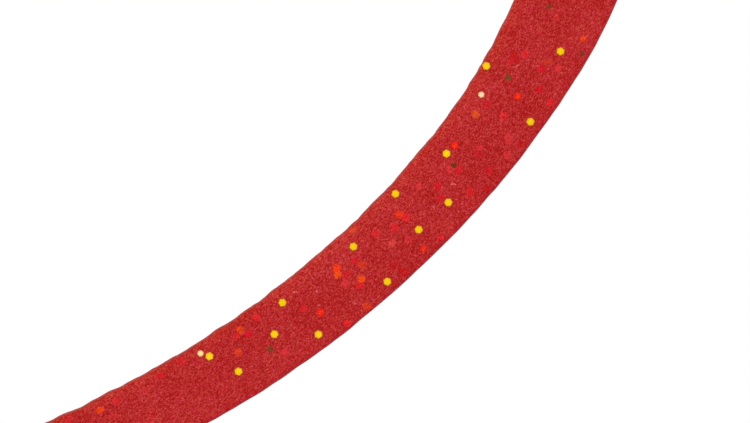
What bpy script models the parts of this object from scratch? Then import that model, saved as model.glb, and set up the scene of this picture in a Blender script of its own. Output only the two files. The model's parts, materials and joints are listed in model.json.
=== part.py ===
"""Flat-backed soft plastic worm with hexagonal flakes set in its flat back.

The worm lies in the XY plane with its flat back up (+Z).  The origin is the
centre of the small flat face of the nose, which looks along +Y; the body sweeps
away from it towards -Y, curving to -X, down to the thin tail tip.  The moulding
is divided into short sections, hinged one to the next, so that it can bend up
and down (flex), bend sideways (sweep) and turn about its own length (twist).

Lengths are millimetres unless noted; MM turns them into metres.  A "distance"
is always measured along the curved centreline from the nose face.
"""

import math
from typing import NamedTuple

import bmesh
import bpy
from mathutils import Vector

MM = 0.001

# ---------------------------------------------------------------- dimensions
LENGTH = 150.0  # along the centreline, nose face to tail tip

NOSE_ROUND = 6.5  # length over which the nose rounds off
NOSE_FLAT_WIDTH = 3.6
NOSE_FLAT_HEIGHT = 3.2
TIP_ROUND = 2.4  # length over which the tail tip rounds off
TIP_END_WIDTH = 0.9
TIP_END_HEIGHT = 0.9

BACK_Z = 0.5 * NOSE_FLAT_HEIGHT  # height of the flat back

# distance, curvature of the centreline in 1/m
CURVATURE = (
    (0.0, 20.4), (24.0, 14.0), (40.0, 10.85), (60.0, 8.46), (80.0, 8.05),
    (100.0, 7.9), (LENGTH, 4.7),
)
# distance, full width of the flat back
WIDTH = (
    (0.0, 11.5), (12.0, 12.0), (24.0, 11.46), (40.0, 10.17), (60.0, 9.56),
    (80.0, 9.19), (100.0, 8.77), (125.0, 6.9), (LENGTH, 4.4),
)
# distance, thickness from the flat back down to the belly
THICKNESS = (
    (0.0, 5.0), (14.0, 5.3), (40.0, 5.0), (70.0, 4.6), (100.0, 4.0),
    (125.0, 3.1), (LENGTH, 1.9),
)

# cross-section
SIDE_WALL = 0.30  # share of the thickness that the upright side wall takes
HINGE_DEPTH = 0.44  # depth of the hinge line, as a share of the thickness
BELLY_ANGLES = (40.0, 65.0)  # degrees round the belly, below the hinge line

# joints
JOINT_GAP = 0.12  # between the ends of two neighbouring sections
RELIEF_SPARE = 1.5  # degrees of relief beyond half of the joint's travel

# mesh density
CENTRELINE_STEP = 0.05
RING_SPACING = 3.2  # the most between rings along a section
JOINT_RING = 1.4  # from a joint to the first whole ring
ROUND_RINGS = (0.03, 0.12, 0.3, 0.6)  # rings in a rounded end, as shares of its length
SHARP_ANGLE = 40.0  # degrees; steeper edges are shaded sharp

# flakes: hexagonal foil, set in shallow pockets in the flat back
FLAKE_ACROSS_FLATS = 0.889  # the trade's 0.035 inch flake
FLAKE_THICK = 0.12
FLAKE_SUNK = 0.03  # depth of a flake's top face below the flat back
POCKET_GAP = 0.03  # clearance beside and below a flake
CUTTER_RISE = 1.0  # how far the pocket cutters stand above the flat back

# ------------------------------------------------------- sections and joints
# name, distance of its tail end, joint there: (kind, travel each way in degrees)
SECTIONS = (
    ("nose", 9.2, ("sweep", 15.0)),
    ("head_section_1", 17.2, ("flex", 35.0)),
    ("head_section_2", 25.2, ("sweep", 15.0)),
    ("head_section_3", 33.5, ("twist", 30.0)),
    ("body_section_1", 43.5, ("flex", 35.0)),
    ("body_section_2", 50.1, ("sweep", 15.0)),
    ("body_section_3", 59.3, ("flex", 35.0)),
    ("body_section_4", 69.8, ("flex", 35.0)),
    ("body_section_5", 76.5, ("sweep", 15.0)),
    ("body_section_6", 88.4, ("flex", 35.0)),
    ("tail_section_1", 96.6, ("sweep", 18.0)),
    ("tail_section_2", 104.6, ("flex", 45.0)),
    ("tail_section_3", 112.4, ("sweep", 20.0)),
    ("tail_section_4", 120.0, ("flex", 45.0)),
    ("tail_section_5", 127.4, ("twist", 30.0)),
    ("tail_section_6", 134.4, ("flex", 45.0)),
    ("tail_section_7", 141.0, ("sweep", 25.0)),
    ("tail_tip", LENGTH, None),
)
ROOT = "body_section_4"  # the section from which both ends hang

# kind of flake: rows of distance, how far to the left of the centreline (seen
# from above, looking towards the nose), turn in degrees
FLAKES = {
    "gold_flake": (
        (29.9, -2.2, 12), (36.0, 4.6, 0), (38.7, -3.5, 40), (47.75, 2.25, 8),
        (52.05, -1.75, 25), (55.65, 3.6, 50), (56.8, -1.4, 15), (63.9, 2.55, 33),
        (63.7, -3.3, 5), (75.0, 2.75, 48), (73.85, -2.9, 20), (78.05, 0.25, 10),
        (86.1, 2.35, 37), (84.1, -1.05, 28),
    ),
    "pale_flake": ((39.35, 3.2, 18), (86.85, 3.2, 52)),
    "dark_flake": ((28.95, -4.6, 30), (35.75, 1.6, 9), (48.3, 0.7, 44), (79.5, -0.95, 22)),
    "orange_flake": (
        (31.8, -1.55, 35), (41.75, 2.4, 14), (57.15, 1.5, 47), (62.55, 4.1, 0),
        (64.55, 0.25, 26), (65.8, -1.05, 55), (67.35, -3.95, 2), (67.6, 1.3, 39),
        (81.2, 2.95, 17), (82.85, 0.85, 6),
    ),
}

# ------------------------------------------------------------------ finishes
PLASTISOL = dict(
    name="red_plastisol", colour=(0.470, 0.022, 0.022), roughness=0.45, metallic=0.0
)
FOILS = {
    "gold_flake": dict(
        name="gold_foil", colour=(1.0, 0.66, 0.01), roughness=0.25, metallic=0.6
    ),
    "pale_flake": dict(
        name="pale_gold_foil", colour=(1.0, 0.75, 0.40), roughness=0.25, metallic=0.5
    ),
    "dark_flake": dict(
        name="dark_foil", colour=(0.13, 0.06, 0.015), roughness=0.35, metallic=0.4
    ),
    "orange_flake": dict(
        name="orange_foil", colour=(0.90, 0.08, 0.01), roughness=0.30, metallic=0.4
    ),
}


def make_material(name, colour, roughness, metallic):
    material = bpy.data.materials.new(name)
    material.use_nodes = True
    shader = material.node_tree.nodes["Principled BSDF"]
    shader.inputs["Base Color"].default_value = (*colour, 1.0)
    shader.inputs["Roughness"].default_value = roughness
    shader.inputs["Metallic"].default_value = metallic
    material.diffuse_color = (*colour, 1.0)
    return material


# ---------------------------------------------------------------- centreline
def interpolate(rows, distance):
    """Value at a distance, straight between the rows of a table."""
    for (near, near_value), (far, far_value) in zip(rows, rows[1:]):
        if distance <= far:
            share = (distance - near) / (far - near)
            return near_value + (far_value - near_value) * share
    return rows[-1][1]


def trace_centreline():
    """(x, y, heading) every CENTRELINE_STEP from the nose to the tail tip.

    The heading is the direction towards the nose, in radians; it starts along
    +Y and turns clockwise, seen from above, towards the tail.
    """
    x, y, heading = 0.0, 0.0, math.radians(90.0)
    points = [(x, y, heading)]
    for i in range(round(LENGTH / CENTRELINE_STEP)):
        curvature = interpolate(CURVATURE, (i + 0.5) * CENTRELINE_STEP) * MM
        turn = curvature * CENTRELINE_STEP
        middle = heading - 0.5 * turn
        x -= math.cos(middle) * CENTRELINE_STEP
        y -= math.sin(middle) * CENTRELINE_STEP
        heading -= turn
        points.append((x, y, heading))
    return points


CENTRELINE = trace_centreline()


def station(distance):
    """Point on the middle of the flat back, and the heading there."""
    steps = distance / CENTRELINE_STEP
    i = min(int(steps), len(CENTRELINE) - 2)
    share = steps - i
    x, y, heading = (
        near + (far - near) * share for near, far in zip(CENTRELINE[i], CENTRELINE[i + 1])
    )
    return Vector((x, y, BACK_Z)), heading


def directions(heading):
    """Unit vectors towards the nose and to the left of it."""
    forward = Vector((math.cos(heading), math.sin(heading), 0.0))
    return forward, Vector((-forward.y, forward.x, 0.0))


# ------------------------------------------------------------- cross-section
def round_off(share, end_value, full_value):
    """Quarter ellipse from end_value at share 0 to full_value at share 1 and beyond."""
    if share >= 1.0:
        return full_value
    return end_value + (full_value - end_value) * math.sqrt(1.0 - (1.0 - share) ** 2)


def body_size(rows, distance, nose_value, tip_value):
    """A table's value at a distance, rounded off at the nose and the tail tip."""
    size = interpolate(rows, distance)
    size = round_off(distance / NOSE_ROUND, nose_value, size)
    return round_off((LENGTH - distance) / TIP_ROUND, tip_value, size)


def half_width(distance):
    return 0.5 * body_size(WIDTH, distance, NOSE_FLAT_WIDTH, TIP_END_WIDTH)


def thickness(distance):
    return body_size(THICKNESS, distance, NOSE_FLAT_HEIGHT, TIP_END_HEIGHT)


def section_outline():
    """The D-shaped cross-section as (share of half width to the right, share of
    thickness down), clockwise from the back's left edge, looking towards the nose."""
    belly = 1.0 - SIDE_WALL
    hinge_angle = math.asin((HINGE_DEPTH - SIDE_WALL) / belly)
    angles = [0.0, hinge_angle] + [math.radians(angle) for angle in BELLY_ANGLES]
    right = [(math.cos(angle), SIDE_WALL + belly * math.sin(angle)) for angle in angles]
    left = [(-across, down) for across, down in reversed(right)]
    return [(-1.0, 0.0), (0.0, 0.0), (1.0, 0.0)] + right + [(0.0, 1.0)] + left


OUTLINE = section_outline()

# pairs of places in OUTLINE where the line about which a joint bends meets it
HINGE_ENDS = {
    "flex": (4, 10),  # right side, left side
    "sweep": (1, 7),  # middle of the back, bottom of the belly
}


def no_setback(across, height):
    return 0.0


def ring(distance, setback=no_setback):
    """The outline at a distance; setback(across, height) slides each point
    towards the nose, or away from it where negative."""
    centre, heading = station(distance)
    forward, left = directions(heading)
    half, thick = half_width(distance), thickness(distance)
    points = []
    for right_share, down_share in OUTLINE:
        across, height = -right_share * half, -down_share * thick
        offset = left * across + Vector((0.0, 0.0, height))
        points.append(centre + offset + forward * setback(across, height))
    return points


def joint_ring(distance, joint, side):
    """A section's end ring at a joint, cut back from the hinge line for relief.

    side is +1 on the nose side of the joint and -1 on its tail side.
    """
    kind, travel = joint
    slope = math.tan(math.radians(0.5 * travel + RELIEF_SPARE))
    hinge_height = -HINGE_DEPTH * thickness(distance)

    def setback(across, height):
        from_hinge = {"flex": abs(height - hinge_height), "sweep": abs(across), "twist": 0.0}
        return side * (0.5 * JOINT_GAP + from_hinge[kind] * slope)

    return ring(distance, setback)


# ------------------------------------------------------------------ sections
class Section(NamedTuple):
    name: str
    start: float
    end: float
    joint_before: tuple  # None at the nose
    joint_after: tuple  # None at the tail tip
    origin: Vector  # metres; on the hinge line of the joint that carries the section


def plan_sections():
    """All sections from nose to tail, and the root's place among them."""
    root = [name for name, _, _ in SECTIONS].index(ROOT)
    sections = []
    start, joint_before = 0.0, None
    for i, (name, end, joint_after) in enumerate(SECTIONS):
        if i == root:
            distance = 0.5 * (start + end)
        else:
            distance = end if i < root else start
        depth = HINGE_DEPTH * thickness(distance)
        origin = (station(distance)[0] - Vector((0.0, 0.0, depth))) * MM
        sections.append(Section(name, start, end, joint_before, joint_after, origin))
        start, joint_before = end, joint_after
    return sections, root


def section_rings(section):
    """A section's rings from its nose end to its tail end."""
    if section.joint_before:
        first = [joint_ring(section.start, section.joint_before, -1.0)]
        places = [section.start + JOINT_RING]
    else:
        first = [ring(section.start)]
        places = [NOSE_ROUND * share for share in (*ROUND_RINGS, 1.0)]

    if section.joint_after:
        last = [joint_ring(section.end, section.joint_after, 1.0)]
        body_end = section.end - JOINT_RING
        tip = []
    else:
        last = [ring(section.end)]
        body_end = LENGTH - TIP_ROUND
        tip = [LENGTH - TIP_ROUND * share for share in reversed(ROUND_RINGS)]

    body_start = places[-1]
    span = body_end - body_start
    steps = max(1, math.ceil(span / RING_SPACING))
    places += [body_start + span * (i + 1) / steps for i in range(steps)]
    return first + [ring(place) for place in places + tip] + last


def bridge(bm, near, far):
    """Joins two closed loops of vertices with quads."""
    for i in range(len(near)):
        j = (i + 1) % len(near)
        bm.faces.new((near[i], near[j], far[j], far[i]))


def add_cap(bm, loop, joint):
    """Closes an end with one flat face, or with two that meet on the hinge line."""
    kind = joint[0] if joint else None
    if kind not in HINGE_ENDS:
        bm.faces.new(loop)
        return
    first, second = HINGE_ENDS[kind]
    bm.faces.new(loop[first:second + 1])
    bm.faces.new(loop[second:] + loop[:first + 1])


def new_mesh(name, bm):
    mesh = bpy.data.meshes.new(name)
    bm.to_mesh(mesh)
    bm.free()
    return mesh


def section_mesh(section):
    bm = bmesh.new()
    loops = [
        [bm.verts.new(point * MM - section.origin) for point in points]
        for points in section_rings(section)
    ]
    for near, far in zip(loops, loops[1:]):
        bridge(bm, near, far)
    add_cap(bm, loops[0], section.joint_before)
    add_cap(bm, loops[-1], section.joint_after)
    bmesh.ops.recalc_face_normals(bm, faces=bm.faces)
    return new_mesh(section.name, bm)


def link(name, mesh, origin, parent=None, parent_origin=Vector()):
    """A new object in the scene; both origins are in the world, in metres."""
    obj = bpy.data.objects.new(name, mesh)
    bpy.context.scene.collection.objects.link(obj)
    obj.parent = parent
    obj.location = origin - parent_origin
    return obj


def build_sections(sections, root):
    """Section objects, each hung from its neighbour on the root's side."""
    red = make_material(**PLASTISOL)
    objects = {}
    for i in (root, *reversed(range(root)), *range(root + 1, len(sections))):
        section = sections[i]
        mesh = section_mesh(section)
        if i == root:
            obj = link(section.name, mesh, section.origin)
        else:
            carrier = sections[i + 1 if i < root else i - 1]
            parent = objects[carrier.name]
            obj = link(section.name, mesh, section.origin, parent, carrier.origin)
        mesh.materials.append(red)
        mesh.shade_smooth()
        mesh.set_sharp_from_angle(angle=math.radians(SHARP_ANGLE))
        objects[section.name] = obj
    return objects


# -------------------------------------------------------- flakes and pockets
def add_hexagon(bm, centre, turn, across_flats, low, high):
    """A hexagonal prism; centre, low and high are in metres, turn in radians."""
    radius = 0.5 * across_flats * MM / math.cos(math.radians(30.0))
    angles = [turn + math.radians(60.0 * k) for k in range(6)]
    bottom, top = (
        [
            bm.verts.new(
                (centre.x + radius * math.cos(angle), centre.y + radius * math.sin(angle), z)
            )
            for angle in angles
        ]
        for z in (low, high)
    )
    bm.faces.new(bottom[::-1])
    bm.faces.new(top)
    bridge(bm, bottom, top)


def flake_place(distance, left_by, turn):
    """Place on the flat back, in metres, and the flake's turn in radians."""
    centre, heading = station(distance)
    _, left = directions(heading)
    return (centre + left * left_by) * MM, heading + math.radians(turn)


def build_flake(name, centre, turn, foil, section, parent):
    """One flake, with its origin in the middle of its top face."""
    bm = bmesh.new()
    add_hexagon(bm, Vector(), turn, FLAKE_ACROSS_FLATS, low=-FLAKE_THICK * MM, high=0.0)
    origin = Vector((centre.x, centre.y, (BACK_Z - FLAKE_SUNK) * MM))
    flake = link(name, new_mesh(name, bm), origin, parent, section.origin)
    flake.data.materials.append(foil)


def cut_pockets(section, obj, places):
    """Cuts a section's pockets with one hidden cutter."""
    bm = bmesh.new()
    floor = BACK_Z - (FLAKE_SUNK + FLAKE_THICK + POCKET_GAP)
    low = floor * MM - section.origin.z
    high = (BACK_Z + CUTTER_RISE) * MM - section.origin.z
    across_flats = FLAKE_ACROSS_FLATS + 2.0 * POCKET_GAP
    for centre, turn in places:
        add_hexagon(bm, centre - section.origin, turn, across_flats, low, high)
    name = section.name + "_pockets"
    cutter = link(name, new_mesh(name, bm), section.origin)
    cutter.hide_render = True
    cutter.display_type = "WIRE"

    cut = obj.modifiers.new("flake_pockets", "BOOLEAN")
    cut.operation = "DIFFERENCE"
    cut.solver = "EXACT"
    cut.object = cutter


def build_flakes(sections, objects):
    pockets = {}  # section name: places of its flakes
    for kind, rows in FLAKES.items():
        foil = make_material(**FOILS[kind])
        for number, (distance, left_by, turn) in enumerate(rows, 1):
            owner = next(section for section in sections if distance < section.end)
            place = flake_place(distance, left_by, turn)
            build_flake(f"{kind}_{number:02d}", *place, foil, owner, objects[owner.name])
            pockets.setdefault(owner.name, []).append(place)
    for section in sections:
        if section.name in pockets:
            cut_pockets(section, objects[section.name], pockets[section.name])


def clear_scene():
    for obj in list(bpy.data.objects):
        bpy.data.objects.remove(obj)


def build():
    clear_scene()
    sections, root = plan_sections()
    objects = build_sections(sections, root)
    build_flakes(sections, objects)
    bpy.context.view_layer.update()


build()
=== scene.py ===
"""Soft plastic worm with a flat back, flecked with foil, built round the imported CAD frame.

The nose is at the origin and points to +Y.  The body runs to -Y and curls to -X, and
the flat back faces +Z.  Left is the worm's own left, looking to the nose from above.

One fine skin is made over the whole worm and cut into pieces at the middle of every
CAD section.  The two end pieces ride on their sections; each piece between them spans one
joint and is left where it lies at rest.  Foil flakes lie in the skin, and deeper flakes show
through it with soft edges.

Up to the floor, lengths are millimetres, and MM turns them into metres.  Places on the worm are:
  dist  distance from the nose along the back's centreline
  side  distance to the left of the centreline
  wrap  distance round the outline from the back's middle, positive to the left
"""

import json
import math
from collections import defaultdict, namedtuple

import bpy
import numpy as np
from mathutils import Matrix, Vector

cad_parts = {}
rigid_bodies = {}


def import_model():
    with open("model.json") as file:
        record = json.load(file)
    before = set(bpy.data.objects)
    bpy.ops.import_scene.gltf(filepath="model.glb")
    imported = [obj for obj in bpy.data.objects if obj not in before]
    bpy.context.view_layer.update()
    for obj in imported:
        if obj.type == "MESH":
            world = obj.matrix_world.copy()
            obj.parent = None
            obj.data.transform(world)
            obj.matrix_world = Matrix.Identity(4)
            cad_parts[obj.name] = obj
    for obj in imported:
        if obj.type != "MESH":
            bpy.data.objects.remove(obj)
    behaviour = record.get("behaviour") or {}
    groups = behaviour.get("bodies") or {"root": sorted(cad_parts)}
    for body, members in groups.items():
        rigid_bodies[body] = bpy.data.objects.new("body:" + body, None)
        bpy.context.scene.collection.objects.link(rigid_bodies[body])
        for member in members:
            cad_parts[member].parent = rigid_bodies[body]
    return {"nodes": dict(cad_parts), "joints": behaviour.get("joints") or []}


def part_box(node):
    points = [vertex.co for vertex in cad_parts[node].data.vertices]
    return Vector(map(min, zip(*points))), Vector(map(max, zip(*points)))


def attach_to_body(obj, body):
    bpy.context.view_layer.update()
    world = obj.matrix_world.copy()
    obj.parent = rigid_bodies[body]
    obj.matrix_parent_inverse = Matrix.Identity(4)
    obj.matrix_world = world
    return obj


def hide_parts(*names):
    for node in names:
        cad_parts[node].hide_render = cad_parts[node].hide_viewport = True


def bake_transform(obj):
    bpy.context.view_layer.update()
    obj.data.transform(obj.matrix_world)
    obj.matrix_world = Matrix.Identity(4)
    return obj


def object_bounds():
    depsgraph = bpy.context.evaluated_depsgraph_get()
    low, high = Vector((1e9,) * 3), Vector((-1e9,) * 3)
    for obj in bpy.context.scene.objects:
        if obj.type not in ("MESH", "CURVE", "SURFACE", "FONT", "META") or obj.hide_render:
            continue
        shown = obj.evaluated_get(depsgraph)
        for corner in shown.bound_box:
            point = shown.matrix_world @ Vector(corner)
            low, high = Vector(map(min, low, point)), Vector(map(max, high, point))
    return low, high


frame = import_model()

MM = 0.001
CAD_LO, CAD_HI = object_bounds()

# ------------------------------------------------------------------ the worm's form
LENGTH = 150.0
BACK_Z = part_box("body_section_4")[1].z / MM  # height of the flat back
# dist, curvature of the centreline in radians per metre
CURVATURE = (
    (0.0, 20.4), (24.0, 14.0), (40.0, 10.85), (60.0, 8.46), (80.0, 8.05), (100.0, 7.9), (150.0, 4.7),
)
# dist, full width
WIDTH = (
    (0.0, 11.5), (12.0, 12.0), (24.0, 11.46), (40.0, 10.17), (60.0, 9.56), (80.0, 9.19),
    (100.0, 8.77), (125.0, 6.9), (150.0, 4.4),
)
# dist, height from belly to back
THICKNESS = (
    (0.0, 5.0), (14.0, 5.3), (40.0, 5.0), (70.0, 4.6), (100.0, 4.0), (125.0, 3.1), (150.0, 1.9),
)
TABLE_EASE = 4.0  # the tables' corners are eased over this length each way
NOSE_ROUND, NOSE_FLAT_WIDTH, NOSE_FLAT_HEIGHT = 6.5, 3.6, 3.2
TIP_ROUND, TIP_END_WIDTH, TIP_END_HEIGHT = 2.4, 0.9, 0.9
SIDE_WALL = 0.30  # upright part of the side, as a share of the thickness
EDGE_ROUND = 0.22  # the back's edges are nearly sharp
LINE_STEP = 0.05


def table(rows, dist):
    places, values = zip(*rows)
    return np.interp(dist, places, values)


def smooth_table(rows, dist):
    """The same table with its corners eased, so that no facet shows in the sides."""
    shifts = np.linspace(-TABLE_EASE, TABLE_EASE, 17)
    weights = np.cos(shifts / TABLE_EASE * math.pi / 2.0) ** 2
    weights /= weights.sum()
    total = 0.0
    for shift, weight in zip(shifts, weights):
        at = dist + shift
        value = table(rows, at)
        # beyond an end the table goes on along its last slope
        for (end, end_value), (inner, inner_value) in (rows[:2], rows[:-3:-1]):
            extended = end_value + (at - end) * (inner_value - end_value) / (inner - end)
            value = np.where((at - end) * (inner - end) < 0, extended, value)
        total = total + weight * value
    return total


def running_sum(values):
    return np.concatenate([[0.0], np.cumsum(values)])


def centreline():
    count = int(round(LENGTH / LINE_STEP))
    bend = table(CURVATURE, (np.arange(count) + 0.5) * LINE_STEP) / 1000.0
    heading = math.radians(90.0) - running_sum(bend * LINE_STEP)
    mid_heading = heading[:-1] - 0.5 * bend * LINE_STEP
    x = -running_sum(np.cos(mid_heading) * LINE_STEP)
    y = -running_sum(np.sin(mid_heading) * LINE_STEP)
    return np.arange(count + 1) * LINE_STEP, x, y, heading


LINE_DIST, LINE_X, LINE_Y, LINE_HEADING = centreline()


def station(dist):
    """Points on the back's centreline, directions to the nose and to the left, as arrays."""
    x, y, heading = (np.interp(dist, LINE_DIST, row) for row in (LINE_X, LINE_Y, LINE_HEADING))
    zero = np.zeros_like(x)
    centre = np.stack([x, y, zero + BACK_Z], -1)
    forward = np.stack([np.cos(heading), np.sin(heading), zero], -1)
    left = np.stack([-np.sin(heading), np.cos(heading), zero], -1)
    return centre, forward, left


def distance_along(x, y):
    """Where a point of the frame, in metres, lies along the centreline."""
    return float(LINE_DIST[np.argmin((LINE_X - x / MM) ** 2 + (LINE_Y - y / MM) ** 2)])


def quarter_circle(part):
    return np.sqrt(np.clip(1.0 - (1.0 - np.clip(part, 0.0, 1.0)) ** 2, 0.0, 1.0))


def rounded(dist, nose_value, tip_value, full):
    """The full size, rounded down to the end faces at the nose and the tail's tip."""
    value = nose_value + (full - nose_value) * quarter_circle(dist / NOSE_ROUND)
    return tip_value + (value - tip_value) * quarter_circle((LENGTH - dist) / TIP_ROUND)


def half_width(dist):
    return 0.5 * rounded(dist, NOSE_FLAT_WIDTH, TIP_END_WIDTH, smooth_table(WIDTH, dist))


def thickness(dist):
    return rounded(dist, NOSE_FLAT_HEIGHT, TIP_END_HEIGHT, smooth_table(THICKNESS, dist))


def wander(dist, seed, wavelength):
    """Smooth noise of about unit size along the worm, the same on every run."""
    rng = np.random.default_rng(seed)
    knots = rng.uniform(-1.0, 1.0, int(LENGTH / wavelength) + 6)
    knot_place = dist / wavelength + 2.0
    i = np.clip(np.floor(knot_place).astype(int), 1, len(knots) - 3)
    part = knot_place - i
    before, start, end, after = knots[i - 1], knots[i], knots[i + 1], knots[i + 2]
    cubic = 3 * (start - end) + after - before
    square = 2 * before - 5 * start + 4 * end - after
    return start + 0.5 * part * (end - before + part * (square + part * cubic))


def layered(dist, layers, base=0.0):
    """Layers of wander, each (size, seed, wavelength), added to base."""
    return sum((size * wander(dist, seed, length) for size, seed, length in layers), base)


def edge_left(dist):
    """How far the back's left edge stands in: this side of the moulding is a little ragged."""
    ragged = layered(dist, ((0.056, 11, 1.3), (0.044, 12, 3.1), (0.034, 13, 0.6)))
    # here and there the edge steps in and then stands proud, where flash was torn away
    rng = np.random.default_rng(17)
    place = 4.0
    while place < LENGTH - 6.0:
        size = rng.uniform(0.02, 0.10)
        reach = rng.uniform(0.45, 0.8)
        offset = (dist - place) / reach
        ragged = ragged - size * offset * np.exp(-np.abs(offset)) * 1.4
        place += rng.uniform(5.0, 14.0)
    return np.clip(0.015 + ragged, -0.12, 0.20)


def edge_right(dist):
    return layered(dist, ((0.030, 14, 3.1), (0.020, 15, 9.0), (0.024, 16, 1.1)), base=-0.018)


# ------------------------------------------------------------- sections and joints
joints = sorted(
    (distance_along(*joint["pos_m"][:2]), joint["parent"], joint["child"])
    for joint in frame["joints"]
)
# names of the sections from nose to tail
order = list(joints[0][1:])
if order[1] not in joints[1][1:]:
    order.reverse()
for _, parent, child in joints[1:]:
    order.append(child if order[-1] == parent else parent)
ends = [0.0] + [joint[0] for joint in joints] + [LENGTH]
middles = [0.5 * (ends[i] + ends[i + 1]) for i in range(len(order))]

# --------------------------------------------------------------- the skin as a grid
# steps across half of the back, round its edge, down the upright side, and to the belly's middle
TOP_N, FILLET_N, WALL_N, BELLY_N = 20, 6, 5, 24
HALF = TOP_N + FILLET_N + WALL_N + BELLY_N  # index of the belly's middle
EDGE_INDEX = TOP_N + FILLET_N // 2  # index of the middle of the back's edge
ROW_STEP = 0.25


def make_stations():
    """Distances of the grid's rows, closer at the rounded ends, with one row at every cut."""
    nose = NOSE_ROUND * (1.0 - np.cos(np.radians(np.linspace(0.0, 90.0, 31))))
    tip = LENGTH - TIP_ROUND * (1.0 - np.cos(np.radians(np.linspace(90.0, 0.0, 19))))
    body = np.arange(nose[-1] + ROW_STEP, tip[0] - 0.12, ROW_STEP)
    dist = np.concatenate([nose, body, tip])
    keep = np.ones(len(dist), bool)
    for middle in middles:
        keep &= np.abs(dist - middle) > 0.09
    return np.sort(np.concatenate([dist[keep], np.array(middles)]))


def streak_shift(dist):
    """The plastic's fine streaks run along the nose end and turn a little off it to the tail."""
    fine = np.arange(0.0, LENGTH + 0.5, 0.5)
    slope = np.tan(np.radians(np.interp(fine, (36.0, 78.0), (0.0, 13.0))))
    return np.interp(dist, fine, running_sum(0.25 * (slope[1:] + slope[:-1])))


def half_outline(half, drop, thick):
    """Sides and heights of half an outline, from the back's middle to the belly's middle."""
    fillet = np.minimum(EDGE_ROUND, 0.35 * half)
    wall = np.maximum(SIDE_WALL * thick, drop + fillet + 0.02)
    side, z = [], []
    for i in range(TOP_N):
        side.append((half - fillet) * i / TOP_N)
        z.append(-drop)
    for i in range(FILLET_N):
        angle = 0.5 * math.pi * i / FILLET_N
        side.append(half - fillet + fillet * math.sin(angle))
        z.append(-drop - fillet * (1.0 - math.cos(angle)))
    for i in range(WALL_N):
        side.append(half)
        z.append(-drop - fillet - (wall - drop - fillet) * i / WALL_N)
    for i in range(BELLY_N):
        angle = 0.5 * math.pi * i / BELLY_N
        side.append(half * math.cos(angle))
        z.append(-wall - (thick - wall) * math.sin(angle))
    side.append(0.0 * half)
    z.append(-thick)
    return np.stack(side, 1), np.stack(z, 1)


def make_grid(dist):
    """Positions (stations, around, 3) of the skin, places across the back, and streak places."""
    half, thick = half_width(dist), thickness(dist)
    # the back is rounded down to the end faces too
    near = np.minimum(np.clip(dist, 0.0, EDGE_ROUND), np.clip(LENGTH - dist, 0.0, EDGE_ROUND))
    drop = EDGE_ROUND - np.sqrt(np.clip(EDGE_ROUND**2 - (EDGE_ROUND - near) ** 2, 0.0, None))
    ease = np.clip(np.minimum(dist, LENGTH - dist) / 3.0, 0.0, 1.0)
    side_right, z_right = half_outline(half - edge_right(dist) * ease, drop, thick)
    side_left, z_left = half_outline(half - edge_left(dist) * ease, drop, thick)
    # round the outline: back's middle, right edge, belly, left edge, and back again
    side = np.concatenate([-side_right, side_left[:, -2:0:-1]], 1)
    z = np.concatenate([z_right, z_left[:, -2:0:-1]], 1)
    # hardly visible unevenness, as on anything poured into a soft mould
    for size, size_seed, size_length, pitch, turn, turn_seed, turn_length, wave in (
        (0.011, 21, 5.5, 0.8, 1.9, 22, 9.0, np.cos),
        (0.005, 23, 2.1, 1.9, 2.3, 24, 4.0, np.sin),
    ):
        phase = turn * wander(dist, turn_seed, turn_length)[:, None]
        swell = size * wander(dist, size_seed, size_length)[:, None] * wave(side * pitch + phase)
        z = z + swell * ease[:, None]
    centre, _, left = station(dist)
    points = centre[:, None, :] + left[:, None, :] * side[..., None]
    points[..., 2] += z
    lay = np.stack([dist[:, None] + 0.0 * side, side + streak_shift(dist)[:, None], z], -1)
    return points, side / np.maximum(half, 1e-6)[:, None], lay


ROWS = make_stations()
GRID, ACROSS, LAY = make_grid(ROWS)
N_AROUND = GRID.shape[1]


def grid_normals(points):
    """Unit normals of the whole grid, so that no seam between pieces shows."""
    along = np.empty_like(points)
    along[1:-1] = points[:-2] - points[2:]
    along[0] = points[0] - points[1]
    along[-1] = points[-2] - points[-1]
    around = np.roll(points, -1, 1) - np.roll(points, 1, 1)
    normals = np.cross(around, along)
    normals /= np.maximum(np.linalg.norm(normals, axis=2, keepdims=True), 1e-12)
    # at the two ends the side's normal turns into the end face's
    for row, sign in ((0, 1.0), (len(ROWS) - 1, -1.0)):
        _, forward, _ = station(ROWS[row : row + 1])
        turned = normals[row] * 0.25 + forward[0] * sign
        normals[row] = turned / np.linalg.norm(turned, axis=1, keepdims=True)
    return normals


NORMALS = grid_normals(GRID)

# distance round the outline from the back's middle, down the right and down the left
seg = np.linalg.norm(np.diff(GRID, axis=1), axis=2)
rightward = np.concatenate([np.zeros((len(ROWS), 1)), np.cumsum(seg[:, :HALF], 1)], 1)
closing = np.linalg.norm(GRID[:, 0] - GRID[:, -1], axis=1)[:, None]
leftward = np.cumsum(np.concatenate([closing, seg[:, : HALF - 1 : -1]], 1), 1)
GIRTH_HALF = leftward[:, -1]
WRAP = np.concatenate([-rightward, leftward[:, HALF - 2 :: -1]], 1)
EDGE_RIGHT = rightward[:, EDGE_INDEX]
EDGE_LEFT = leftward[:, EDGE_INDEX - 1]
# distance in from the back's edge: positive on the back, negative down the side
EDGE = np.where(WRAP <= 0, EDGE_RIGHT[:, None] + WRAP, EDGE_LEFT[:, None] - WRAP)
EDGE[:, HALF] = -3.0
EDGE = np.minimum(EDGE, np.minimum(ROWS, LENGTH - ROWS)[:, None] + 0.02)

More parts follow.
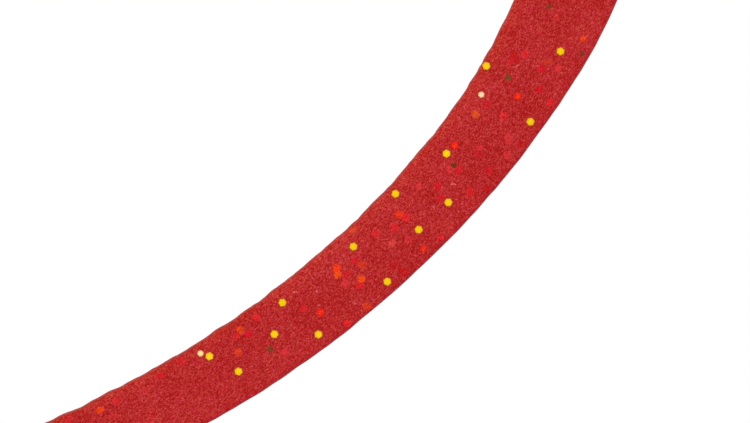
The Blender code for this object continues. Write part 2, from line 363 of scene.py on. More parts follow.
# points and normals of the same skin, resampled evenly round its outline to lay flakes on
SPREAD = np.linspace(-1.0, 1.0, 721)
WRAP_SORTED = np.concatenate([-rightward[:, ::-1], leftward], 1)
SORTED_INDEX = np.concatenate([np.arange(HALF, -1, -1), np.arange(N_AROUND - 1, HALF - 1, -1)])
SKIN_SORTED = np.concatenate([GRID, NORMALS], 2)[:, SORTED_INDEX]
EVEN_SKIN = np.empty((len(ROWS), len(SPREAD), 6))
for i, wraps in enumerate(WRAP_SORTED):
    even = np.where(SPREAD < 0, -SPREAD * wraps[0], SPREAD * wraps[-1])
    for column in range(6):
        EVEN_SKIN[i, :, column] = np.interp(even, wraps, SKIN_SORTED[i, :, column])


def on_skin(dist, wrap):
    """Points and unit normals of the skin at these places, as arrays."""
    dist = np.clip(np.asarray(dist, float), ROWS[0], ROWS[-1])
    wrap = np.asarray(wrap, float)
    i = np.clip(np.searchsorted(ROWS, dist) - 1, 0, len(ROWS) - 2)
    row_part = ((dist - ROWS[i]) / (ROWS[i + 1] - ROWS[i]))[:, None]
    found = []
    for k in (i, i + 1):
        reach = np.where(wrap < 0, -WRAP_SORTED[k, 0], WRAP_SORTED[k, -1])
        place = (np.clip(wrap / reach, -1.0, 1.0) + 1.0) * 0.5 * (len(SPREAD) - 1)
        j = np.clip(np.floor(place).astype(int), 0, len(SPREAD) - 2)
        part = (place - j)[:, None]
        found.append(EVEN_SKIN[k, j] * (1 - part) + EVEN_SKIN[k, j + 1] * part)
    both = found[0] * (1 - row_part) + found[1] * row_part
    normals = both[:, 3:]
    return both[:, :3], normals / np.linalg.norm(normals, axis=1, keepdims=True)


def stretch_at(dist, wrap):
    """Millimetres of skin for one millimetre of centreline."""
    reach = 0.2
    points, _ = on_skin([dist - reach, dist + reach], [wrap, wrap])
    covered = min(dist + reach, LENGTH) - max(dist - reach, 0.0)
    return float(np.linalg.norm(points[1] - points[0])) / covered


# ------------------------------------------------------------------- colours
LIGHT = 1.080  # how bright a white card lying on the back looks
GLOSS = 0.0088  # what the surface's sheen adds to every colour


def seen(*srgb):
    """The base colour that looks like this sRGB colour (0-255) under the studio's light."""
    out = []
    for level in srgb:
        level /= 255.0
        linear = level / 12.92 if level <= 0.04045 else ((level + 0.055) / 1.055) ** 2.4
        out.append(min(max((linear - GLOSS) / LIGHT, 0.0), 1.0))
    return (*out, 1.0)


class Net:
    """The node tree of a material or a world, with short ways to add nodes."""

    def __init__(self, owner):
        owner.use_nodes = True
        self.owner = owner
        self.tree = owner.node_tree

    def put(self, socket, value):
        """Links a socket to an input, or sets the input's value."""
        if isinstance(value, bpy.types.NodeSocket):
            self.tree.links.new(value, socket)
        else:
            socket.default_value = value

    def add(self, kind, inputs=(), **settings):
        """A new node; inputs maps socket names or numbers to values."""
        node = self.tree.nodes.new("ShaderNode" + kind)
        for setting, value in settings.items():
            setattr(node, setting, value)
        for socket, value in dict(inputs).items():
            self.put(node.inputs[socket], value)
        return node

    def attribute(self, name, output="Fac"):
        return self.add("Attribute", attribute_name=name).outputs[output]

    def math(self, operation, *values):
        return self.add("Math", enumerate(values), operation=operation).outputs[0]

    def times(self, first, second):
        return self.math("MULTIPLY", first, second)

    def vary(self, value, amount, base):
        """base, moved by amount times the value's distance from one half."""
        return self.math("MULTIPLY_ADD", self.math("SUBTRACT", value, 0.5), amount, base)

    def vector(self, operation, *values):
        return self.add("VectorMath", enumerate(values), operation=operation).outputs[0]

    def mix(self, factor, start, end, blend="MIX"):
        inputs = {0: factor, 6: start, 7: end}
        node = self.add("Mix", inputs, data_type="RGBA", blend_type=blend, clamp_factor=True)
        return node.outputs[2]

    def scaled(self, colour, factor):
        grey = self.add("CombineColor", dict.fromkeys(range(3), factor)).outputs[0]
        return self.mix(1.0, colour, grey, "MULTIPLY")

    def number(self, factor, start, end):
        inputs = {0: factor, 2: start, 3: end}
        return self.add("Mix", inputs, data_type="FLOAT", clamp_factor=True).outputs[0]

    def ramp(self, value, low, high, out_low=0.0, out_high=1.0):
        """A smooth step from out_low to out_high as the value goes from low to high."""
        inputs = enumerate((value, low, high, out_low, out_high))
        node = self.add("MapRange", inputs, interpolation_type="SMOOTHSTEP", clamp=True)
        return node.outputs[0]

    def stops(self, value, colours):
        """Evenly spaced sRGB colours."""
        node = self.add("ValToRGB", {0: value})
        elements = node.color_ramp.elements
        while len(elements) < len(colours):
            elements.new(0.5)
        for k, colour in enumerate(colours):
            elements[k].position = k / (len(colours) - 1)
            elements[k].color = seen(*colour)
        return node.outputs[0]

    def noise(self, vector, scale, detail=2.0, rough=0.5, output="Fac"):
        inputs = {"Vector": vector, "Scale": scale, "Detail": detail, "Roughness": rough}
        return self.add("TexNoise", inputs).outputs[output]

    def grains(self, vector, scale):
        """One random number for each tiny cell of the plastic."""
        cells = self.add("TexVoronoi", {"Vector": vector, "Scale": scale})
        return self.add("SeparateColor", {0: cells.outputs["Color"]}).outputs[0]

    def camera_sees(self, shown, lighting):
        """The shader shown to the camera, with another one for all other rays."""
        path = self.add("LightPath")
        inputs = {0: path.outputs["Is Camera Ray"], 1: lighting.outputs[0], 2: shown.outputs[0]}
        return self.add("MixShader", inputs).outputs[0]


# sRGB colours of the plastic from its darkest grain to its lightest
REDS = ((147, 0, 7), (166, 18, 22), (183, 39, 41), (201, 60, 62), (220, 82, 84))
# the same reds painted lighter and warmer, for the painted highlight on the left quarter of the back
LIT_SIDE_REDS = ((157, 10, 2), (175, 28, 19), (192, 49, 41), (209, 69, 61), (227, 90, 83))
LEAN = np.array([0.30, 1.9, 1.6])  # how far red, green and blue vary from patch to patch
STREAK = np.array([0.40, 1.0, 1.0])  # the grain is drawn out along the worm


def plastic(net):
    """The red plastic's colour, height, roughness and grain at a point, as sockets.

    Everything is driven by the point's place on the worm at rest, in millimetres, so
    the grain stays put when the worm bends.
    """
    place = net.attribute("rest_mm", "Vector")
    across = net.attribute("across")
    edge = net.attribute("edge_mm")
    lay = net.attribute("lay_mm", "Vector")
    fine = net.noise(lay, scale=9.6, detail=1.5, rough=0.6)
    cell = net.grains(lay, scale=11.0)
    dust = net.grains(place, scale=10.0)
    broad = net.noise(lay, scale=2.2, rough=0.6)
    cloud = net.noise(place, scale=0.12)
    grain = 0.5
    for texture, amount in ((fine, 0.81), (cell, 0.51), (dust, 0.53), (broad, 0.12), (cloud, 0.36)):
        grain = net.vary(texture, amount, grain)
    # painted highlight: the left quarter of the back is a little warmer and lighter, as if more light
    # fell on it
    lit_side_share = net.noise(lay, scale=8.0, rough=0.7)
    lit_side_share = net.vary(lit_side_share, amount=3.0, base=net.ramp(across, low=0.55, high=0.97))
    colour = net.mix(lit_side_share, net.stops(grain, REDS), net.stops(grain, LIT_SIDE_REDS))
    # small patches lean a little to orange, crimson or brick
    lean = net.noise(place, scale=3.2, rough=0.6, output="Color")
    lean = net.vector("MULTIPLY_ADD", lean, LEAN, 1.0 - 0.5 * LEAN)
    colour = net.vector("MULTIPLY", colour, lean)

    on_left = net.ramp(across, low=-0.3, high=0.3)

    def by_side(right, left):
        return net.number(on_left, right, left)

    # painted shade: just inside the right edge the plastic is a little darker and more saturated
    right_edge_shade = net.times(net.ramp(edge, low=0.75, high=0.25), by_side(right=0.30, left=0.0))
    right_edge_shade = net.times(right_edge_shade, net.ramp(edge, low=-0.1, high=0.1))
    colour = net.mix(right_edge_shade, colour, seen(168, 22, 32))
    # painted shade: the plastic is darkened along the back's edge and down its rounding, where the
    # surface turns from the light
    rim = net.ramp(net.times(edge, by_side(right=0.78, left=0.6)), low=0.20, high=0.0)
    rim = net.times(rim, net.ramp(edge, low=-0.35, high=-0.05))
    rim = net.times(rim, by_side(right=0.50, left=0.64))
    colour = net.mix(rim, colour, net.mix(on_left, seen(152, 52, 64), seen(138, 76, 72)))
    # the thin lip of the edge lets light through
    lip = net.times(net.ramp(edge, low=0.05, high=-0.06), net.ramp(edge, low=-0.45, high=-0.20))
    lip = net.times(lip, by_side(right=0.92, left=0.54))
    colour = net.mix(lip, colour, net.mix(on_left, seen(238, 76, 86), seen(226, 92, 88)))

    fine_share, cell_share = 0.7, 0.25  # of the relief
    height = net.math("ADD", net.times(fine, fine_share), net.times(cell, cell_share))
    rough = net.ramp(fine, low=0.3, high=0.7, out_low=0.33, out_high=0.45)
    return colour, height, rough, grain


def finish(net, colour, height, rough, metallic=0.0, relief=1.0):
    bump_inputs = {"Strength": relief, "Distance": 0.014 * MM, "Height": height}
    shader = net.tree.nodes["Principled BSDF"]
    for socket, value in (
        ("Base Color", colour),
        ("Roughness", rough),
        ("Metallic", metallic),
        ("Specular IOR Level", 0.14),
        ("Normal", net.add("Bump", bump_inputs).outputs["Normal"]),
    ):
        net.put(shader.inputs[socket], value)
    return net.owner


def skin_material():
    net = Net(bpy.data.materials.new("red_plastisol_skin"))
    colour, height, rough, _ = plastic(net)
    return finish(net, colour, height, rough)


def sunk_material(name):
    """A flake under the surface: its tint shows through the plastic and fades out at its rim."""
    net = Net(bpy.data.materials.new(name))
    colour, height, rough, grain = plastic(net)
    fade = net.attribute("fade")
    tint = net.attribute("tint", "Color")
    strength = net.attribute("strength")
    place = net.attribute("rest_mm", "Vector")
    soft = net.vary(net.noise(place, scale=2.8, rough=0.6), amount=0.75, base=fade)
    soft = net.times(net.ramp(soft, low=0.12, high=0.72), strength)
    # some are seen as a ring round a duller middle, and all are speckled by the plastic over them
    ringed = net.ramp(net.attribute("luck"), low=0.50, high=0.95)
    middle = net.ramp(fade, low=0.60, high=0.95)
    dulling = -0.40
    hollow = net.math("MULTIPLY_ADD", net.times(ringed, middle), dulling, 1.0)
    speckle = net.noise(place, scale=3.9, rough=0.7)
    speckle = net.ramp(speckle, low=0.36, high=0.54, out_low=0.45)
    soft = net.times(net.times(soft, hollow), speckle)
    # tiny lit points
    point = net.ramp(net.noise(place, scale=5.5, rough=0.7), low=0.62, high=0.72)
    point = net.times(point, net.ramp(fade, low=0.05, high=0.45))
    point_strength = 0.60
    colour = net.mix(net.times(point, point_strength), colour, seen(238, 124, 120))
    # the brightest ones have a hot core
    core = net.times(net.ramp(strength, low=0.96, high=1.0), net.ramp(fade, low=0.60, high=0.95))
    tint = net.mix(core, tint, seen(254, 58, 22))
    # the same grain lies over it
    tint = net.scaled(tint, net.vary(grain, amount=0.75, base=1.0))
    return finish(net, net.mix(soft, colour, tint), height, rough)


def foil_material(name, centre, rim, outline, shadow_line_strength):
    """A foil flake let into the surface, with a painted shadow line where the plastic meets it.

    The film is bright in its centre and duller at its rim.
    """
    net = Net(bpy.data.materials.new(name))
    colour, height, rough, _ = plastic(net)
    fade = net.attribute("fade")
    luck = net.attribute("luck")
    mottle = net.noise(net.attribute("rest_mm", "Vector"), scale=4.5, rough=0.6)
    film = net.mix(net.ramp(fade, low=0.42, high=0.85), rim, centre)
    film = net.mix(net.ramp(mottle, low=0.50, high=0.75, out_high=0.25), film, rim)
    luck_gain, base_gain = 0.05, 1.035  # brightness from flake to flake
    film = net.scaled(film, net.math("MULTIPLY_ADD", luck, luck_gain, base_gain))
    film = net.mix(1.0, film, net.attribute("tint", "Color"), "MULTIPLY")
    # painted shadow line round the film, just outside its bright part
    ring = net.times(net.ramp(fade, low=0.0, high=0.30), shadow_line_strength)
    on_film = net.ramp(fade, low=0.26, high=0.40)
    return finish(
        net,
        net.mix(on_film, net.mix(ring, colour, outline), film),
        height,
        rough=net.number(on_film, rough, 0.30),
        metallic=net.number(on_film, 0.0, 0.15),
        relief=net.number(on_film, 1.0, 0.25),
    )


SKIN = skin_material()
# outline is the colour of the painted shadow line round each foil flake
MATERIALS = {
    "gold": foil_material(
        "gold_foil_film",
        centre=seen(255, 215, 4), rim=seen(252, 174, 52), outline=seen(152, 60, 8), shadow_line_strength=0.80,
    ),
    "pale": foil_material(
        "pale_foil_film",
        centre=seen(255, 230, 172), rim=seen(250, 184, 130), outline=seen(160, 58, 26), shadow_line_strength=0.6,
    ),
    "orange": sunk_material("orange_foil_film"),
    "dark": sunk_material("dark_foil_film"),
    "red": sunk_material("red_foil_film"),
    # painted highlights of flakes on edge
    "glint": sunk_material("lit_flake_rim"),
}

# ------------------------------------------------------------------------- meshes
# columns of values: kind of attribute, name of its data
ATTRIBUTE_KINDS = {
    1: ("FLOAT", "value"), 3: ("FLOAT_VECTOR", "vector"), 4: ("FLOAT_COLOR", "color"),
}


def neighbours(count):
    """Pairs of neighbouring numbers round a closed ring."""
    return [(j, (j + 1) % count) for j in range(count)]


def add_part(name, material, faces, corner_normals, points, lay, **values):
    """A smooth mesh object with its own normals, and its place at rest as attributes."""
    mesh = bpy.data.meshes.new(name)
    mesh.from_pydata((points * MM).tolist(), [], faces)
    mesh.update()
    for title, data in {"rest_mm": points, "lay_mm": lay * STREAK, **values}.items():
        data = np.asarray(data, np.float32)
        kind, key = ATTRIBUTE_KINDS[data.size // len(data)]
        mesh.attributes.new(title, kind, "POINT").data.foreach_set(key, data.ravel())
    mesh.shade_smooth()
    mesh.normals_split_custom_set(np.asarray(corner_normals).tolist())
    mesh.materials.append(material)
    obj = bpy.data.objects.new(name, mesh)
    bpy.context.scene.collection.objects.link(obj)
    return obj


# ------------------------------------------------------------------- the skin's pieces
# columns: point (0-2), streak place (3-5), across (6), distance in from the edge (7)
SKIN_DATA = np.concatenate([GRID, LAY, ACROSS[..., None], EDGE[..., None]], 2)
CAP_RINGS = (0.8, 0.45)  # sizes of the rings inside an end face


def skin_piece(name, first, last):
    """Rows first..last of the grid as a closed body, with the whole skin's normals."""
    data = SKIN_DATA[first : last + 1].reshape(-1, 8)
    normals = NORMALS[first : last + 1].reshape(-1, 3)
    faces = [
        (row + j, row + N_AROUND + j, row + N_AROUND + k, row + k)
        for row in range(0, len(normals) - N_AROUND, N_AROUND)
        for j, k in neighbours(N_AROUND)
    ]
    corner_normals = [normals[vertex] for face in faces for vertex in face]
    for row, sign in ((first, 1.0), (last, -1.0)):
        start = (row - first) * N_AROUND
        outer = range(start, start + N_AROUND)
        ring = data[start : start + N_AROUND]
        centre = ring.mean(0)
        centre[6:] = 0.0, -1.0
        cap = []
        for scale in CAP_RINGS:
            inner = range(len(data), len(data) + N_AROUND)
            shrunk = centre + (ring - centre) * scale
            shrunk[:, 7] = -1.0
            data = np.concatenate([data, shrunk])
            cap += [(outer[j], outer[k], inner[k], inner[j]) for j, k in neighbours(N_AROUND)]
            outer = inner
        cap += [(outer[j], outer[k], len(data)) for j, k in neighbours(N_AROUND)]
        data = np.concatenate([data, centre[None]])
        face_normal = station(ROWS[row : row + 1])[1][0] * sign
        real_end = row in (0, len(ROWS) - 1)
        for face in cap:
            face = face if sign > 0 else face[::-1]
            faces.append(face)
            # the real end faces are rounded off into the sides; the hidden ones are flat
            for vertex in face:
                on_side = real_end and vertex < len(normals)
                corner_normals.append(normals[vertex] if on_side else face_normal)
    return add_part(
        name, SKIN, faces, corner_normals, data[:, :3], data[:, 3:6],
        across=data[:, 6], edge_mm=data[:, 7],
    )


# first and last grid row, the section it starts on, and the next section, if any
Span = namedtuple("Span", "first last section next_section")
cuts = [int(np.argmin(np.abs(ROWS - middle))) for middle in middles]
spans = [
    Span(0, cuts[0], order[0], None),
    *(Span(*row) for row in zip(cuts, cuts[1:], order, order[1:])),
    Span(cuts[-1], len(ROWS) - 1, order[-1], None),
]


def attach(obj, span):
    """Rides on one section, or, across a joint, only has its place at rest baked into its mesh."""
    if span.next_section is None:
        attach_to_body(obj, span.section)
        return
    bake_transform(obj)


for k, span in enumerate(spans):
    piece = skin_piece(f"skin_{k:02d}", span.first, span.last)
    attach(piece, span)
    # each piece stands for the CAD section that it starts before
    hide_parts(order[min(k, len(order) - 1)])


# ------------------------------------------------------------------------- flakes
Flake = namedtuple("Flake", "dist wrap luck tint strength")


class Bunch:
    """Flakes of one kind on one span, gathered into one mesh."""

    def __init__(self):
        self.points, self.normals, self.faces = [], [], []
        self.dist, self.wrap, self.fade, self.flakes = [], [], [], []

    def ring(self, flake, corners, lift, fade, tilt=0.0):
        """Adds points round a flake, raised off the skin by lift; returns their numbers.

        Corners are millimetres to the nose and to the left of the flake's middle.
        """
        corners = np.asarray(corners, float)
        dist = flake.dist - corners[:, 0] / stretch_at(flake.dist, flake.wrap)
        wrap = flake.wrap + corners[:, 1]
        points, normals = on_skin(dist, wrap)
        start, count = len(self.points), len(corners)
        self.points.extend(points + normals * lift)
        shown = normals + tilt
        self.normals.extend(shown / np.linalg.norm(shown, axis=1, keepdims=True))
        self.dist.extend(dist)
        self.wrap.extend(wrap)
        self.fade.extend([fade] * count)
        self.flakes.extend([flake] * count)
        return range(start, start + count)


def hexagon(turn, size, squash):
    """Corners and mid-sides of a hexagon of that width across its flats."""
    out = []
    for k in range(12):
        radius = 0.5 * size / (math.cos(math.radians(30.0)) if k % 2 == 0 else 1.0)
        angle = turn + math.radians(30.0 * k)
        out.append((radius * math.cos(angle), radius * math.sin(angle) * squash))
    return np.array(out)


def wafer(bunch, flake, outline, levels, tilt=0.0, shadow=0.0):
    """A thin closed plate let into the skin, built in rings from its underside to its middle.

    shadow moves the outermost rings away from the key light, so that the line is wider there.
    """
    _, forward, left = station(np.array([flake.dist]))
    away = np.array([0.45, -0.89]) * shadow
    away = np.array([away @ forward[0][:2], away @ left[0][:2]])
    rings = []
    for scale, lift, fade in levels[:-1]:
        corners = outline * scale + (away if fade == 0.0 else 0.0)
        rings.append(bunch.ring(flake, corners, lift, fade, tilt if fade > 0.3 else 0.0))
    top = bunch.ring(flake, [(0.0, 0.0)], levels[-1][1], 1.0, tilt)[0]
    bottom = bunch.ring(flake, [(0.0, 0.0)], levels[0][1], 0.0)[0]
    pairs = neighbours(len(outline))
    for lower, upper in zip(rings, rings[1:]):
        bunch.faces += [(lower[j], lower[k], upper[k], upper[j]) for j, k in pairs]
    for j, k in pairs:
        bunch.faces.append((rings[-1][j], rings[-1][k], top))
        bunch.faces.append((rings[0][k], rings[0][j], bottom))


# rings of a flake from its underside to its middle: size, lift off the skin, fade
FOIL_LEVELS = (
    (1.52, -0.025, 0.0), (1.52, 0.003, 0.0), (0.975, 0.007, 0.33), (0.82, 0.011, 0.50),
    (0.42, 0.013, 0.90), (0.0, 0.014, 1.0),
)
SUNK_LEVELS = (
    (1.45, -0.020, 0.0), (1.45, 0.003, 0.0), (1.02, 0.005, 0.50), (0.55, 0.006, 0.88),
    (0.0, 0.006, 1.0),
)
FOIL_TILT, FOIL_SHADOW = 0.06, 0.05
# width across the flats
SIZE = {"gold": 0.889, "pale": 0.70, "orange": 0.84, "dark": 0.66, "red": 0.80}
TINTS = {
    "orange": (238, 72, 12), "dark": (96, 64, 22),
    "crimson": (217, 25, 41), "cherry": (232, 37, 44), "scarlet": (240, 28, 12),
    "rose": (222, 53, 59), "wine": (195, 1, 28), "coral": (230, 74, 64), "ember": (250, 68, 14),
}
NO_TINT = (1.0, 1.0, 1.0, 1.0)
# colour of the painted highlights on flakes on edge
GLINT_TINT = seen(234, 122, 118)
# one pale flake is nearer to cream, the other to straw
PALE_TINTS = ((1.0, 0.98, 1.22, 1.0), (1.0, 1.0, 0.88, 1.0))
# the orange and dark flakes lie at different depths, so each looks different
SHADED = {
    "orange": (
        (206, 54, 38), (224, 84, 34), (238, 56, 14), (221, 72, 44), (212, 54, 28),
        (246, 80, 8), (214, 57, 26), (248, 82, 10), (236, 72, 28), (229, 66, 38),
    ),
    "dark": ((134, 56, 42), (100, 74, 34), (92, 58, 18), (108, 62, 30)),
}
SHALLOW = 0.4  # scales the luck of the flakes that never look hollow
rng = np.random.default_rng(7)
bunches = defaultdict(Bunch)  # by kind and number of the span
taken = []  # places of the flakes so far, to keep flakes apart

GLINT_STEPS, GLINT_RADIUS, GLINT_HALF_WIDTH = 11, 0.45, 0.12
# offset as a share of the half width, lift, fade
GLINT_PROFILE = (
    (-1, -0.015, 0.0), (-1, 0.003, 0.0), (0, 0.006, 1.0), (1, 0.003, 0.0), (1, -0.015, 0.0),
)


def span_of(dist):
    for k, span in enumerate(spans):
        if dist <= ROWS[span.last]:
            return k
    return len(spans) - 1


def glint(dist, wrap, facing, reach, strength):
    """A painted highlight: the lit rim of a flake that stands on edge under the surface, as a thin
    curved sliver.

    facing is the direction from the flake's middle to the sliver, in degrees from +X
    towards +Y, and reach is the sliver's arc in degrees.
    """
    bunch = bunches["glint", span_of(dist)]
    flake = Flake(dist, wrap, 0.0, GLINT_TINT, strength)
    _, forward, _ = station(np.array([dist]))
    middle = math.radians(facing) - math.atan2(forward[0][1], forward[0][0])
    rows = []
    for i in range(GLINT_STEPS):
        part = 2.0 * i / (GLINT_STEPS - 1) - 1.0
        angle = middle + math.radians(0.5 * reach) * part
        taper = math.sqrt(max(1.0 - part * part, 0.0))
        half = GLINT_HALF_WIDTH * (0.15 + 0.85 * taper)
        row = []
        for offset, lift, fade in GLINT_PROFILE:
            radius = GLINT_RADIUS + offset * half
            corner = (radius * math.cos(angle), radius * math.sin(angle))
            row += bunch.ring(flake, [corner], lift, fade * taper)
        rows.append(row)
    for row, after in zip(rows, rows[1:]):
        bunch.faces += [(row[j], row[k], after[k], after[j]) for j, k in neighbours(len(row))]
    bunch.faces.append(tuple(rows[0][::-1]))
    bunch.faces.append(tuple(rows[-1]))


def put_flake(
    kind, dist, wrap, turn, luck, tint=NO_TINT, strength=1.0, squash=1.0, size=None
):
    bunch = bunches[kind, span_of(dist)]
    flake = Flake(dist, wrap, luck, tint, strength)
    outline = hexagon(turn, size or SIZE[kind], squash)
    if kind in ("gold", "pale"):
        tilt = FOIL_TILT * np.array([math.cos(luck * 40.0), math.sin(luck * 40.0), 0.0])
        wafer(bunch, flake, outline, FOIL_LEVELS, tilt, FOIL_SHADOW)
    else:
        wafer(bunch, flake, outline, SUNK_LEVELS)
    taken.append(on_skin([dist], [wrap])[0][0])


# flakes that the CAD model places: each is found again from its node's box
stood_for = defaultdict(list)
for node in sorted(frame["nodes"]):
    kind = node.split("_")[0]
    if kind not in SIZE:
        continue
    lo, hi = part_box(node)
    middle = (lo + hi) / 2
    dist = distance_along(middle.x, middle.y)
    centre, _, left = station(np.array([dist]))
    side = float((np.array([middle.x, middle.y]) / MM - centre[0][:2]) @ left[0][:2])
    number = int(node.split("_")[-1])
    tint, luck = NO_TINT, rng.uniform()
    if kind in SHADED:
        tint = seen(*SHADED[kind][(number - 1) % len(SHADED[kind])])
        luck *= SHALLOW
    elif kind == "pale":
        tint = PALE_TINTS[(number - 1) % 2]
    put_flake(kind, dist, side, math.radians(37.0 * (number * 7 % 11)), luck, tint, strength=0.95)
    stood_for[kind, span_of(dist)].append(node)

# deeper flakes: dist, side, shade
DEEP_FLAKES = (
    (31.80, -2.88, "rose"), (32.25, 1.29, "cherry"), (32.95, 2.43, "wine"), (32.75, -1.21, "crimson"),
    (33.55, 1.80, "wine"), (33.75, 2.37, "crimson"), (35.00, -2.31, "crimson"),
    (35.60, -4.25, "cherry"), (37.10, -0.53, "scarlet"), (39.90, -0.42, "cherry"),
    (40.00, 2.01, "crimson"), (41.50, -4.10, "wine"), (41.65, -2.27, "rose"), (42.05, -2.72, "rose"),
    (43.35, -3.56, "rose"), (44.75, -0.45, "rose"), (45.30, -0.73, "crimson"),
    (46.35, 2.12, "scarlet"), (46.15, -2.94, "crimson"), (47.90, -4.12, "wine"),
    (48.40, -0.16, "crimson"), (48.85, 0.74, "rose"), (49.40, -2.88, "cherry"),
    (51.50, 0.49, "crimson"), (52.25, -0.83, "crimson"), (53.05, 2.18, "rose"),
    (55.70, -3.93, "crimson"), (56.80, 0.66, "cherry"), (58.00, -3.41, "scarlet"),
    (58.50, -1.37, "rose"), (58.65, 0.83, "cherry"), (60.10, -0.29, "coral"), (60.85, 1.90, "cherry"),
    (61.50, -3.72, "wine"), (61.90, -2.38, "wine"), (64.85, 1.13, "crimson"),
    (66.45, -1.43, "cherry"), (66.80, 0.58, "crimson"), (67.55, -0.17, "rose"), (67.15, 1.90, "ember"),
    (70.40, -4.02, "cherry"), (72.05, -0.97, "scarlet"), (73.40, 0.66, "cherry"),
    (78.35, -2.24, "rose"), (78.65, 3.13, "cherry"), (80.60, 2.09, "crimson"), (82.00, 2.60, "cherry"),
    (89.35, 3.53, "cherry"), (92.55, 3.20, "crimson"),
)
# least and most turn, luck, strength, squash and size
DEEP_RANGES = ((0, 0, 0.82, 0.78, 0.78), (1.05, 1, 0.96, 1.0, 0.90))
for dist, side, shade in DEEP_FLAKES:
    turn, luck, strength, squash, size = rng.uniform(*DEEP_RANGES)
    if shade in ("scarlet", "ember"):  # the brightest ones lie just under the surface
        luck *= SHALLOW
        strength = 1.0
    put_flake("red", dist, side, turn, luck, seen(*TINTS[shade]), strength, squash, size)

# painted highlights on flakes on edge: dist and side of the flake's middle, direction of the lit rim,
# reach, strength
GLINTS = (
    (50.35, -1.03, 90, 115, 0.85), (54.10, -0.92, 68, 85, 0.75), (73.20, 2.48, 94, 120, 0.95),
    (71.30, 1.34, 32, 60, 0.80), (68.60, -2.90, 73, 85, 0.70), (71.80, -0.59, 118, 55, 0.75),
    (34.10, 1.06, 128, 95, 0.80), (33.10, -0.85, 92, 80, 0.75),
)
for row in GLINTS:
    glint(*row)

# everywhere else the same mix of flakes is scattered at the same density
PLACED = (27.6, 94.6)  # stretch of the back whose flakes are placed one by one above
# flakes per square millimetre
DENSITY = {"gold": 0.0290, "pale": 0.0035, "dark": 0.0068, "orange": 0.0180, "red": 0.080}
GLINT_DENSITY = 0.006
SHADES = ("crimson", "crimson", "cherry", "cherry", "rose", "rose", "rose", "wine", "scarlet")
FOIL_GAP = 2.7  # the big bright ones are spread rather evenly
AREA = float((np.diff(ROWS) * (GIRTH_HALF[1:] + GIRTH_HALF[:-1])).sum())


def random_wrap(dist):
    girth = float(np.interp(dist, ROWS, GIRTH_HALF))
    return rng.uniform(-girth, girth)


def kept_clear(dist, wrap, edge_gap):
    """Whether a place is on the placed stretch, or so near the back's edge as to fold over it."""
    half = float(half_width(np.array([dist]))[0])
    placed = PLACED[0] < dist < PLACED[1] and abs(wrap) < half + 0.35
    return placed or abs(abs(wrap) - (half - 0.05)) < edge_gap


def crowded(point, others, gap):
    return any(np.linalg.norm(point - other) < gap for other in others)


foils = []  # places of the scattered foil flakes
for kind, density in DENSITY.items():
    count = int(round(density * AREA))
    for i in range(count):
        dist = 1.2 + (LENGTH - 2.1) * (i + rng.uniform()) / count
        wrap = random_wrap(dist)
        turn = rng.uniform(0, 1.05)
        luck = rng.uniform()
        strength = rng.uniform(0.6, 0.95)
        size = rng.uniform(0.74, 0.86)
        squash = rng.uniform(0.78, 1.0)
        shade = SHADES[int(rng.integers(len(SHADES)))]
        point = on_skin([dist], [wrap])[0][0]
        gap = 0.72 if kind == "red" else 1.0
        if kept_clear(dist, wrap, edge_gap=0.60) or crowded(point, taken, gap):
            continue
        if kind in ("gold", "pale"):
            if not crowded(point, foils, FOIL_GAP):
                foils.append(point)
                put_flake(kind, dist, wrap, turn, luck)
            continue
        if kind != "red":
            shade = kind
            luck *= SHALLOW
        if kind == "dark":
            size = SIZE["dark"]
        put_flake(kind, dist, wrap, turn, luck, seen(*TINTS[shade]), strength, squash, size)

# painted highlights scattered over the whole skin, each facing a random way
for _ in range(int(round(GLINT_DENSITY * AREA))):
    dist = rng.uniform(3.0, LENGTH - 3.0)
    wrap = random_wrap(dist)
    facing = rng.uniform(0, 360)
    reach = rng.uniform(50, 110)
    strength = rng.uniform(0.6, 0.85)
    point = on_skin([dist], [wrap])[0][0]
    if kept_clear(dist, wrap, edge_gap=0.70) or crowded(point, taken, gap=0.95):
        continue
    taken.append(point)
    glint(dist, wrap, facing, reach, strength)


def flake_part(name, kind, bunch):
    """The mesh of one bunch."""
    points, normals = np.array(bunch.points), np.array(bunch.normals)
    dist, wrap = np.clip(np.array(bunch.dist), 0.0, LENGTH), np.array(bunch.wrap)
    centre, _, left = station(dist)
    side = ((points[:, :2] - centre[:, :2]) * left[:, :2]).sum(1)
    rim = np.where(wrap > 0, np.interp(dist, ROWS, EDGE_LEFT), np.interp(dist, ROWS, EDGE_RIGHT))
    return add_part(
        name,
        MATERIALS[kind],
        bunch.faces,
        normals[[vertex for face in bunch.faces for vertex in face]],
        points,
        lay=np.stack([dist, side + streak_shift(dist), points[:, 2] - BACK_Z], -1),
        across=side / half_width(dist),
        edge_mm=np.minimum(rim - np.abs(wrap), np.minimum(dist, LENGTH - dist)),
        fade=bunch.fade,
        luck=[flake.luck for flake in bunch.flakes],
        strength=[flake.strength for flake in bunch.flakes],
        tint=[flake.tint for flake in bunch.flakes],
    )


for (kind, k), bunch in sorted(bunches.items()):
    obj = flake_part(f"{kind}_flakes_{k:02d}", kind, bunch)
    attach(obj, spans[k])
    if (kind, k) in stood_for:
        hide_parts(*stood_for[kind, k])


# --------------------------------------------------------- floor, light, camera, in metres
WHITE = (1, 1, 1, 1)


def pale_floor(name, size, z):
    """A pale floor that the camera sees as plain white paper, and that bounces light softly."""
    mesh = bpy.data.meshes.new(name)
    half = size / 2
    corners = [(-half, -half, z), (half, -half, z), (half, half, z), (-half, half, z)]
    mesh.from_pydata(corners, [], [(0, 1, 2, 3)])
    net = Net(bpy.data.materials.new(name))
    net.tree.nodes.clear()
    out = net.add("OutputMaterial")
    paper = net.add("Emission", {"Color": WHITE})
    matte = net.add("BsdfDiffuse", {"Color": (0.8, 0.8, 0.8, 1)})
    net.put(out.inputs["Surface"], net.camera_sees(paper, lighting=matte))
    mesh.materials.append(net.owner)
    obj = bpy.data.objects.new(name, mesh)
    bpy.context.scene.collection.objects.link(obj)


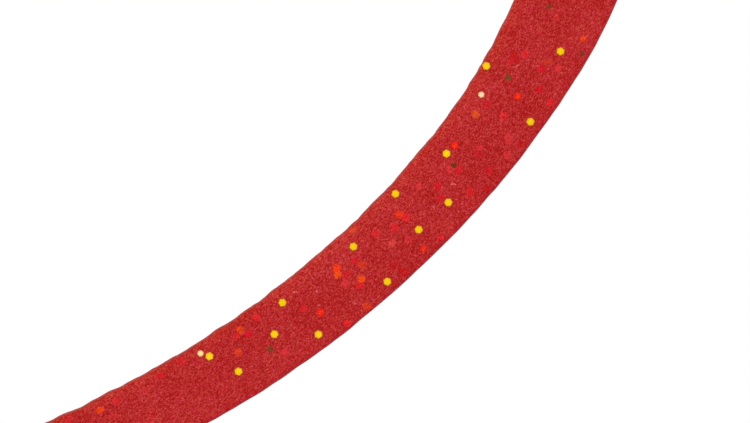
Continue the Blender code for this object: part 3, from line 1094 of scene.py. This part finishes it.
def white_room():
    """A white room with a dark patch of ceiling over the worm, so that no haze lies on the back."""
    net = Net(bpy.data.worlds.new("studio"))
    soft = net.tree.nodes["Background"]
    direction = net.add("TexCoord").outputs["Generated"]
    up = net.add("SeparateXYZ", {0: direction}).outputs["Z"]
    strength = net.ramp(up, low=0.70, high=0.96, out_low=0.68, out_high=0.12)
    net.put(soft.inputs["Color"], WHITE)
    net.put(soft.inputs["Strength"], strength)
    bright = net.add("Background", {"Color": WHITE})
    out = net.tree.nodes["World Output"]
    net.put(out.inputs["Surface"], net.camera_sees(bright, lighting=soft))
    return net.owner


def softbox(name, place, aim, size, power):
    data = bpy.data.lights.new(name, "AREA")
    data.shape = "SQUARE"
    data.size = size
    data.energy = power
    obj = bpy.data.objects.new(name, data)
    obj.location = place
    obj.rotation_mode = "QUATERNION"
    obj.rotation_quaternion = (Vector(aim) - Vector(place)).to_track_quat("-Z", "Y")
    scene.collection.objects.link(obj)


scene = bpy.context.scene
scene.view_settings.view_transform = "Standard"
scene.view_settings.look = "None"
scene.view_settings.exposure = 0.0
scene.view_settings.gamma = 1.0
pale_floor("floor", size=6.0, z=-0.105)
scene.world = white_room()

middle = (CAD_LO + CAD_HI) / 2
softbox("key", (middle.x - 0.35, middle.y + 0.40, 0.75), middle, size=0.7, power=5.5)
softbox("fill", (middle.x + 0.60, middle.y - 0.25, 0.55), middle, size=0.6, power=1.63)

# the camera looks straight down on the flat back, from far off
VIEW_CENTRE = (-0.028090, -0.048825)
VIEW_WIDTH = 0.090  # what fills the picture's width
DISTANCE = 1.0
SENSOR_WIDTH = 36.0
cam_data = bpy.data.cameras.new("camera")
cam_data.sensor_fit = "HORIZONTAL"
cam_data.sensor_width = SENSOR_WIDTH
cam_data.lens = SENSOR_WIDTH * DISTANCE / VIEW_WIDTH
cam_data.clip_start = 0.001
cam_data.clip_end = 100.0
camera = bpy.data.objects.new("camera", cam_data)
camera.location = (*VIEW_CENTRE, BACK_Z * MM + DISTANCE)
scene.collection.objects.link(camera)
scene.camera = camera
